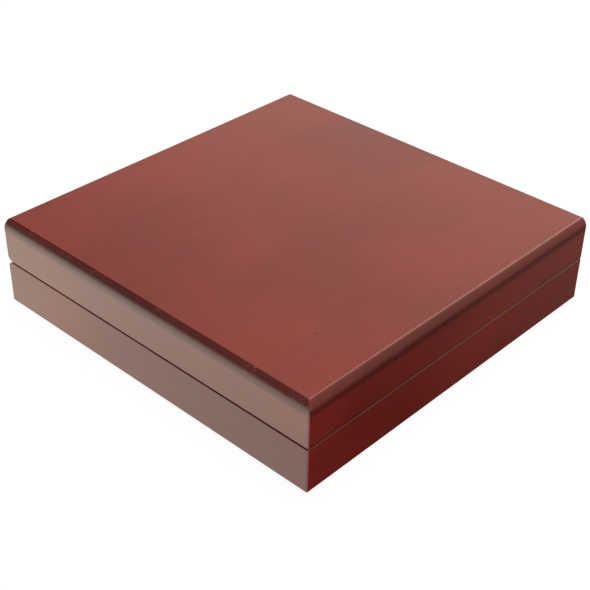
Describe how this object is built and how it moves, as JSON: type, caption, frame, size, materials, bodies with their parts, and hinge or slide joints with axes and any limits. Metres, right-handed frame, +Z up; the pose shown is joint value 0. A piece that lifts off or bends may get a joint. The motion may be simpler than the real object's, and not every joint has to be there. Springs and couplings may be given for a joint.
{
  "type": "necklace box",
  "caption": "Square shallow lacquered wooden box with a hinged lid, rounded top edge, padded insert and padded lid lining, for storing and showing a necklace.",
  "frame": {"origin": "centre of the underside of the box, on the face of the felt that it rests on", "axes": "+Z up, -Y towards the front where the lid opens, +Y towards the hinges, +X to the right seen from the front"},
  "size_m": [0.184, 0.184, 0.0441],
  "materials": {
    "lacquered_wood": "satin red-brown lacquer",
    "plywood": "bare, sanded",
    "felt": "pressed felt",
    "suede": "short-napped suede cloth",
    "satin": "satin weave",
    "ribbon": "satin ribbon",
    "foam": "open-cell foam",
    "greyboard": "plain board",
    "magnet_steel": "nickel plated",
    "hinge_brass": "plated, satin"
  },
  "bodies": {
    "base": {"base_back_liner": "suede", "base_back_rail": "lacquered_wood", "base_bottom_panel": "plywood", "base_front_liner": "suede", "base_front_rail": "lacquered_wood", "base_hinge_screws": "hinge_brass", "base_left_liner": "suede", "base_left_rail": "lacquered_wood", "base_magnets": "magnet_steel", "base_right_liner": "suede", "base_right_rail": "lacquered_wood", "bottom_felt": "felt", "left_hinge_base_leaf": "hinge_brass", "left_hinge_pin": "hinge_brass", "pad_board": "greyboard", "pad_cover": "suede", "pad_foam": "foam", "pad_lift_ribbon": "ribbon", "right_hinge_base_leaf": "hinge_brass", "right_hinge_pin": "hinge_brass"},
    "lid": {"left_hinge_lid_leaf": "hinge_brass", "lid_back_liner": "suede", "lid_back_rail": "lacquered_wood", "lid_front_liner": "suede", "lid_front_rail": "lacquered_wood", "lid_hinge_screws": "hinge_brass", "lid_left_liner": "suede", "lid_left_rail": "lacquered_wood", "lid_magnets": "magnet_steel", "lid_pad_board": "greyboard", "lid_pad_cover": "satin", "lid_pad_foam": "foam", "lid_right_liner": "suede", "lid_right_rail": "lacquered_wood", "lid_top_panel": "lacquered_wood", "right_hinge_lid_leaf": "hinge_brass"}
  },
  "joints": [
    {"name": "lid_hinge", "type": "hinge", "parent": "base", "child": "lid", "pos_m": [0, 0.0897, 0.0223], "axis": [-1, 0, 0], "range_deg": [0, 98]}
  ]
}
